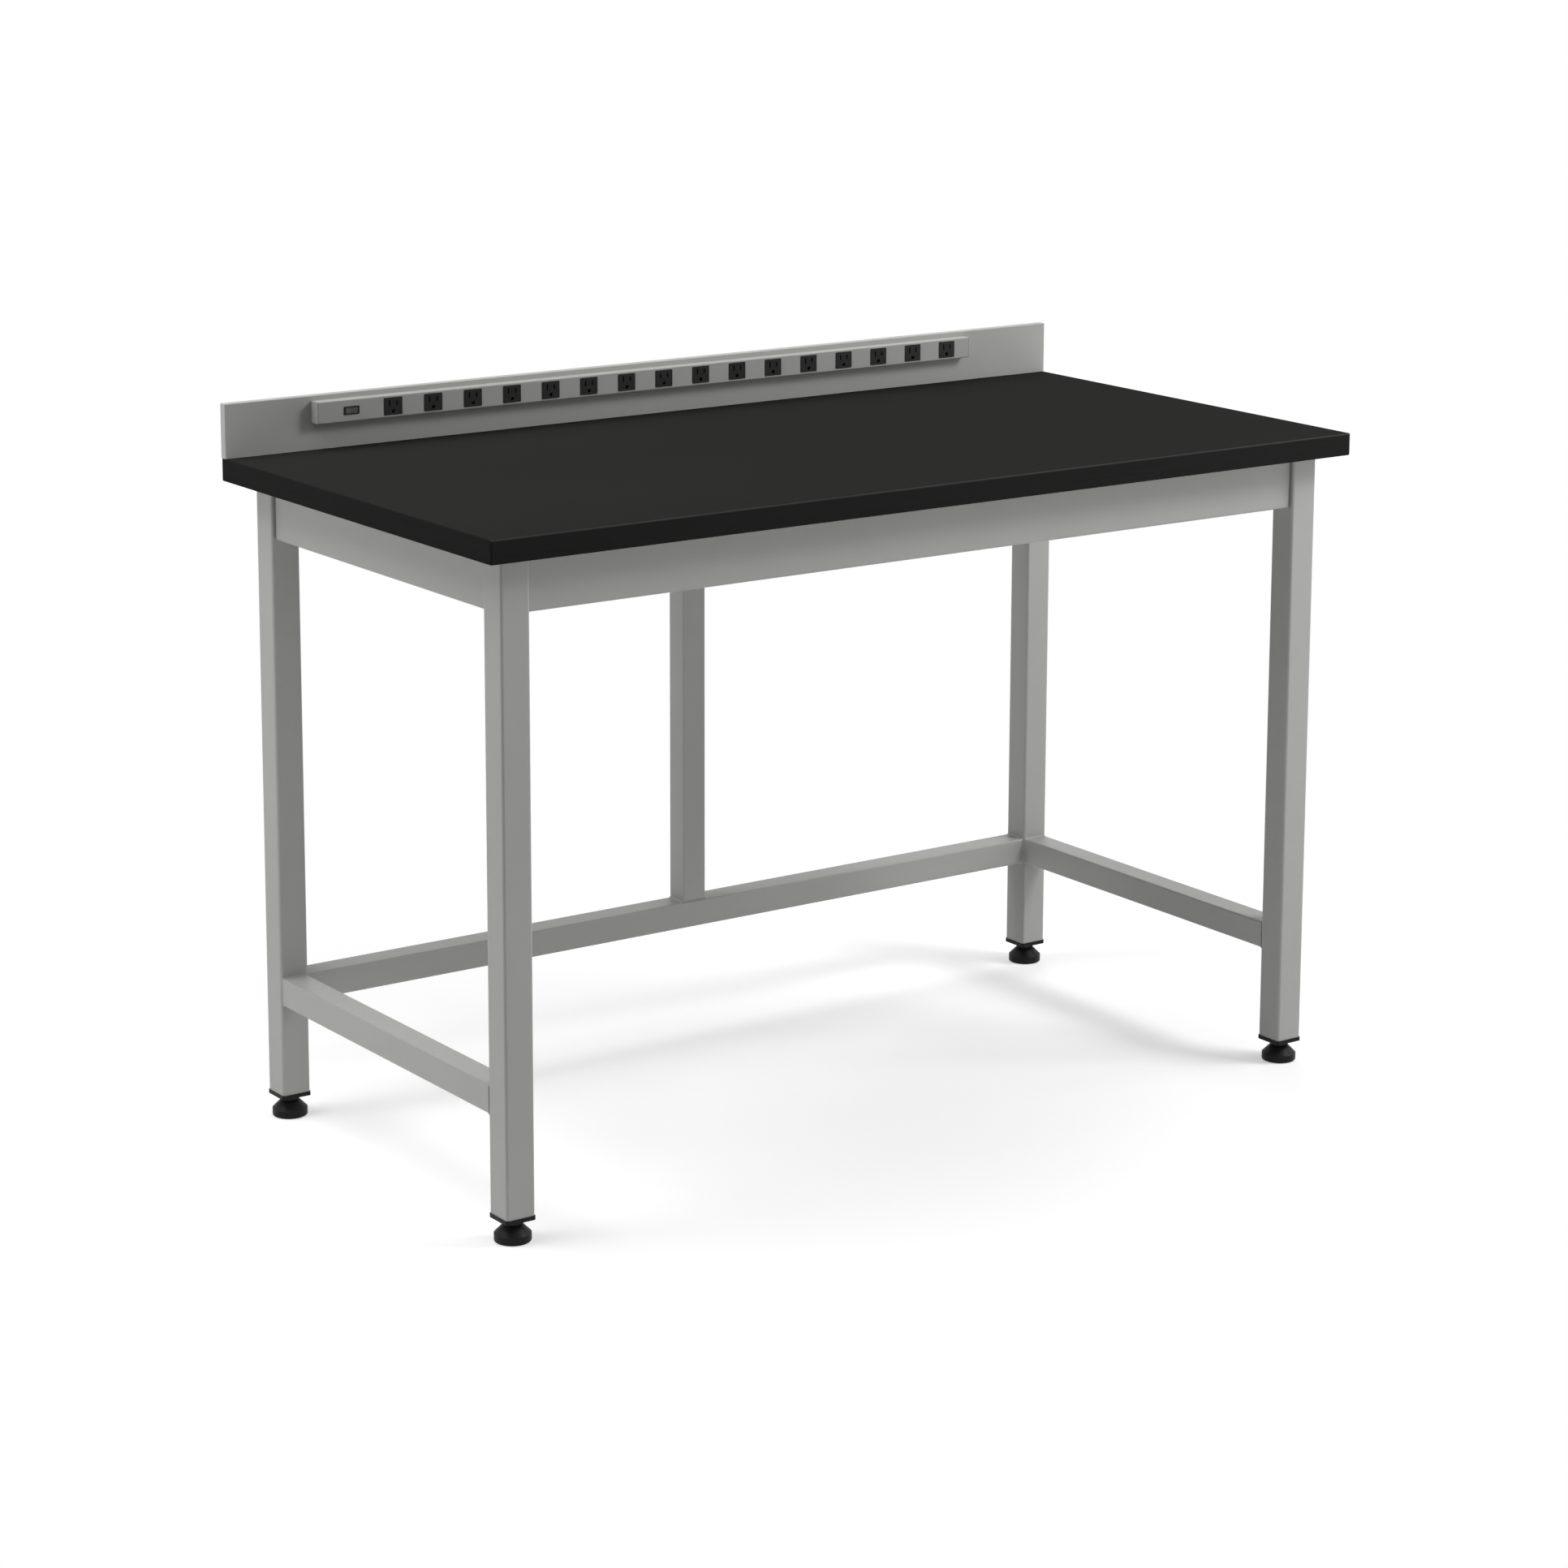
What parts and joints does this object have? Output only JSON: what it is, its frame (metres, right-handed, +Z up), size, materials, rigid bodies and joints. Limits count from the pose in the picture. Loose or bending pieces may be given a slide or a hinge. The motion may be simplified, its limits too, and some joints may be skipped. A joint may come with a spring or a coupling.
{
  "type": "laboratory table",
  "caption": "Laboratory table: black slab on a welded and bolted square-tube frame, screw feet, a low back ledge and a multi-outlet strip with a rocker switch.",
  "frame": {"origin": "on the floor at the centre of the footprint", "axes": "+X along the length to the user's right, -Y to the user, +Z up"},
  "size_m": [1.524, 0.762, 1.081],
  "materials": {
    "worktop": "black compact laminate, satin",
    "frame": "light grey powder coat, semi-matte",
    "ledge": "light grey powder coat, semi-matte",
    "strip": "grey enamel, semi-matte",
    "bare_steel": "zinc-plated sheet",
    "fastener": "zinc-plated",
    "foot_plastic": "black moulded nylon",
    "outlet_black": "black moulded thermoplastic",
    "switch_black": "black moulded thermoplastic",
    "rocker": "dark smoke, unlit",
    "contact": "stamped strip",
    "wire": "insulated single wires",
    "grommet": "black rubber"
  },
  "bodies": {
    "bench": {"worktop": "worktop", "apron_front": "frame", "apron_back": "frame", "apron_left": "frame", "apron_right": "frame", "stretcher_back": "frame", "stretcher_left": "frame", "stretcher_right": "frame", "mid_post": "frame", "apron_bolts": "fastener", "weld_nuts": "fastener", "worktop_screws": "fastener", "leg_plugs": "foot_plastic", "plug_nuts": "fastener", "backsplash_panel": "ledge", "backsplash_stiffeners": "bare_steel", "backsplash_rear_cover": "ledge", "rear_cover_screws": "fastener", "backsplash_screws": "fastener", "supply_grommet": "grommet", "strip_base": "bare_steel", "strip_cover": "strip", "strip_ends": "strip", "strip_screws": "fastener", "neutral_bus": "contact", "line_bus": "contact", "ground_bus": "contact", "switch_housing": "switch_black", "switch_terminals": "contact", "strip_wiring": "wire", "leg_front_left": "frame", "leg_front_right": "frame", "leg_back_left": "frame", "leg_back_right": "frame", "outlet_01": "outlet_black", "outlet_02": "outlet_black", "outlet_03": "outlet_black", "outlet_04": "outlet_black", "outlet_05": "outlet_black", "outlet_06": "outlet_black", "outlet_07": "outlet_black", "outlet_08": "outlet_black", "outlet_09": "outlet_black", "outlet_10": "outlet_black", "outlet_11": "outlet_black", "outlet_12": "outlet_black", "outlet_13": "outlet_black", "outlet_14": "outlet_black", "outlet_15": "outlet_black", "outlet_16": "outlet_black"},
    "rocker": {"switch_rocker": "rocker"},
    "pad_front_left": {"foot_pad_front_left": "foot_plastic"},
    "stem_front_left": {"foot_stem_front_left": "foot_plastic"},
    "pad_front_right": {"foot_pad_front_right": "foot_plastic"},
    "stem_front_right": {"foot_stem_front_right": "foot_plastic"},
    "pad_back_left": {"foot_pad_back_left": "foot_plastic"},
    "stem_back_left": {"foot_stem_back_left": "foot_plastic"},
    "pad_back_right": {"foot_pad_back_right": "foot_plastic"},
    "stem_back_right": {"foot_stem_back_right": "foot_plastic"}
  },
  "joints": [
    {"name": "rocker_tilt", "type": "hinge", "parent": "bench", "child": "rocker", "pos_m": [-0.5615, 0.3518, 1.05675], "axis": [0, 0, 1], "range_deg": [0, 24]},
    {"name": "foot_height_front_left", "type": "slide", "parent": "bench", "child": "pad_front_left", "axis": [0, 0, -1], "range_m": [0, 0.025]},
    {"name": "foot_screw_front_left", "type": "hinge", "parent": "pad_front_left", "child": "stem_front_left", "pos_m": [-0.703, -0.322, 0.02], "axis": [0, 0, -1], "range_deg": [0, 6000]},
    {"name": "foot_height_front_right", "type": "slide", "parent": "bench", "child": "pad_front_right", "axis": [0, 0, -1], "range_m": [0, 0.025]},
    {"name": "foot_screw_front_right", "type": "hinge", "parent": "pad_front_right", "child": "stem_front_right", "pos_m": [0.703, -0.322, 0.02], "axis": [0, 0, -1], "range_deg": [0, 6000]},
    {"name": "foot_height_back_left", "type": "slide", "parent": "bench", "child": "pad_back_left", "axis": [0, 0, -1], "range_m": [0, 0.025]},
    {"name": "foot_screw_back_left", "type": "hinge", "parent": "pad_back_left", "child": "stem_back_left", "pos_m": [-0.703, 0.322, 0.02], "axis": [0, 0, -1], "range_deg": [0, 6000]},
    {"name": "foot_height_back_right", "type": "slide", "parent": "bench", "child": "pad_back_right", "axis": [0, 0, -1], "range_m": [0, 0.025]},
    {"name": "foot_screw_back_right", "type": "hinge", "parent": "pad_back_right", "child": "stem_back_right", "pos_m": [0.703, 0.322, 0.02], "axis": [0, 0, -1], "range_deg": [0, 6000]}
  ],
  "couplings": [
    {"joint": "foot_screw_front_left", "follows": "foot_height_front_left", "rad_per_m": 4188.8},
    {"joint": "foot_screw_front_right", "follows": "foot_height_front_right", "rad_per_m": 4188.8},
    {"joint": "foot_screw_back_left", "follows": "foot_height_back_left", "rad_per_m": 4188.8},
    {"joint": "foot_screw_back_right", "follows": "foot_height_back_right", "rad_per_m": 4188.8}
  ]
}
